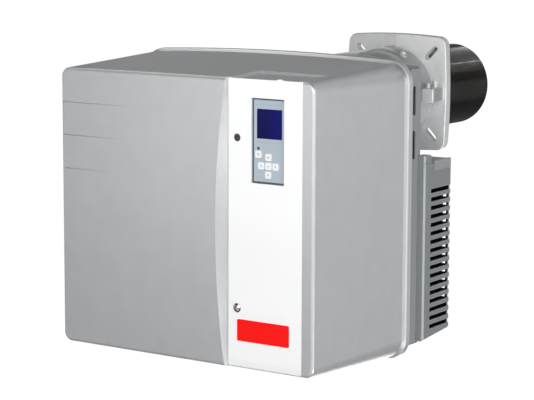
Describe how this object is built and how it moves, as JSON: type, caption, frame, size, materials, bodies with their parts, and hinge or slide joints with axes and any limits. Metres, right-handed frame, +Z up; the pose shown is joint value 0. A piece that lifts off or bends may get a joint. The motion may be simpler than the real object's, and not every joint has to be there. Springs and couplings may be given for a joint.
{
  "type": "pressure-jet oil burner",
  "caption": "Pull-off grey cover with display panel over a fan, motor, pump and nozzle line, with a rear air intake grille, square slotted flange and round blast tube.",
  "frame": {"origin": "centre of the flange's boiler face, on the blast tube axis", "axes": "+Y along the blast tube into the boiler, +X to the right seen from the control panel, +Z up"},
  "size_m": [0.4794, 0.52, 0.46],
  "materials": {
    "cover_grey": "satin metallic grey moulding",
    "panel_white": "gloss white",
    "badge_red": "satin",
    "lock_dark": "satin black",
    "lock_chrome": "polished",
    "bezel_slate": "satin",
    "face_blue_grey": "satin",
    "screen_blue": "gloss",
    "key_white": "satin",
    "module_black": "satin",
    "board_green": "satin",
    "tray_grey": "fine grained",
    "socket_black": "satin",
    "grille_grey": "fine grained",
    "clip_grey": "satin",
    "cast_light": "fine cast",
    "cast_housing": "cast",
    "screw_zinc": "bright zinc",
    "tube_dark": "heat resistant steel, dark",
    "plate_steel": "black powder coat",
    "wheel_steel": "zinc plated",
    "shaft_steel": "ground",
    "motor_paint": "black enamel",
    "stator_iron": "laminated",
    "cap_grey": "satin",
    "rubber_black": "matt",
    "pump_alloy": "machined and cast",
    "coil_black": "moulded",
    "pipe_copper": "bright copper pipe",
    "brass": "turned",
    "disc_steel": "heat tinted",
    "ceramic_white": "glazed ceramic",
    "sensor_black": "satin",
    "trafo_black": "potted case",
    "lead_black": "silicone sleeve",
    "control_blue": "satin",
    "duct_black": "matt",
    "flap_zinc": "zinc plated",
    "servo_grey": "satin",
    "bracket_zinc": "zinc plated"
  },
  "bodies": {
    "burner": {"display_bezel": "bezel_slate", "display_face": "face_blue_grey", "display_window": "screen_blue", "display_housing": "module_black", "display_board": "board_green", "rear_housing": "tray_grey", "power_socket": "socket_black", "intake_grille": "grille_grey", "grille_clip": "clip_grey", "boiler_flange": "cast_light", "mounting_ring": "cast_light", "hinge_bolt": "screw_zinc", "flange_screws": "screw_zinc", "blast_tube": "tube_dark", "burner_housing": "cast_housing", "motor_plate": "plate_steel", "service_lid": "cast_housing", "housing_screws": "screw_zinc", "motor_housing": "motor_paint", "motor_stator": "stator_iron", "motor_bearings": "shaft_steel", "motor_capacitor": "cap_grey", "pump_bracket": "pump_alloy", "oil_pump": "pump_alloy", "solenoid_valve": "coil_black", "oil_supply_pipes": "rubber_black", "pressure_pipe": "pipe_copper", "flame_sensor": "sensor_black", "ignition_transformer": "trafo_black", "ignition_leads": "lead_black", "control_box": "control_blue", "air_duct": "duct_black", "damper_servo": "servo_grey", "cover_posts": "cast_housing", "mounting_brackets": "bracket_zinc"},
    "cover": {"cover_shell": "cover_grey", "control_panel": "panel_white", "front_badge": "badge_red"},
    "lock_upper": {"lock_upper": "lock_dark"},
    "lock_lower": {"lock_lower": "lock_chrome"},
    "fan_rotor": {"fan_wheel": "wheel_steel", "motor_rotor": "shaft_steel", "shaft_coupling": "rubber_black", "pump_shaft": "shaft_steel"},
    "damper": {"damper_flap": "flap_zinc", "damper_shaft": "shaft_steel"},
    "nozzle_line": {"nozzle_rod": "brass", "oil_nozzle": "brass", "turbulator_disc": "disc_steel", "ignition_electrodes": "disc_steel", "electrode_insulators": "ceramic_white", "electrode_leads": "lead_black", "electrode_clamp": "bracket_zinc"},
    "spindle": {"adjusting_spindle": "brass"},
    "key_menu": {"key_menu": "key_white"},
    "key_up": {"key_up": "key_white"},
    "key_left": {"key_left": "key_white"},
    "key_enter": {"key_enter": "key_white"},
    "key_right": {"key_right": "key_white"},
    "key_down": {"key_down": "key_white"}
  },
  "joints": [
    {"name": "cover_pull", "type": "slide", "parent": "burner", "child": "cover", "axis": [0, -1, 0], "range_m": [0, 0.27]},
    {"name": "lock_upper_turn", "type": "hinge", "parent": "cover", "child": "lock_upper", "pos_m": [-0.0399, -0.351, -0.0393], "axis": [0, 1, 0], "range_deg": [0, 90]},
    {"name": "lock_lower_turn", "type": "hinge", "parent": "cover", "child": "lock_lower", "pos_m": [-0.0399, -0.351, -0.2744], "axis": [0, 1, 0], "range_deg": [0, 90]},
    {"name": "fan_spin", "type": "hinge", "parent": "burner", "child": "fan_rotor", "pos_m": [0, -0.209, -0.108], "axis": [1, 0, 0], "continuous": true},
    {"name": "damper_turn", "type": "hinge", "parent": "burner", "child": "damper", "pos_m": [0, -0.196, -0.2835], "axis": [1, 0, 0], "range_deg": [0, 90]},
    {"name": "nozzle_feed", "type": "slide", "parent": "burner", "child": "nozzle_line", "axis": [0, 1, 0], "range_m": [0, 0.02]},
    {"name": "spindle_turn", "type": "hinge", "parent": "burner", "child": "spindle", "pos_m": [0, -0.326, 0], "axis": [0, 1, 0], "range_deg": [0, 1440]},
    {"name": "key_menu_press", "type": "slide", "parent": "burner", "child": "key_menu", "axis": [0, 1, 0], "range_m": [0, 0.0008], "stiffness_N_per_m": 900},
    {"name": "key_up_press", "type": "slide", "parent": "burner", "child": "key_up", "axis": [0, 1, 0], "range_m": [0, 0.0008], "stiffness_N_per_m": 900},
    {"name": "key_left_press", "type": "slide", "parent": "burner", "child": "key_left", "axis": [0, 1, 0], "range_m": [0, 0.0008], "stiffness_N_per_m": 900},
    {"name": "key_enter_press", "type": "slide", "parent": "burner", "child": "key_enter", "axis": [0, 1, 0], "range_m": [0, 0.0008], "stiffness_N_per_m": 900},
    {"name": "key_right_press", "type": "slide", "parent": "burner", "child": "key_right", "axis": [0, 1, 0], "range_m": [0, 0.0008], "stiffness_N_per_m": 900},
    {"name": "key_down_press", "type": "slide", "parent": "burner", "child": "key_down", "axis": [0, 1, 0], "range_m": [0, 0.0008], "stiffness_N_per_m": 900}
  ],
  "couplings": [
    {"joint": "spindle_turn", "follows": "nozzle_feed", "rad_per_m": 1256.6}
  ]
}
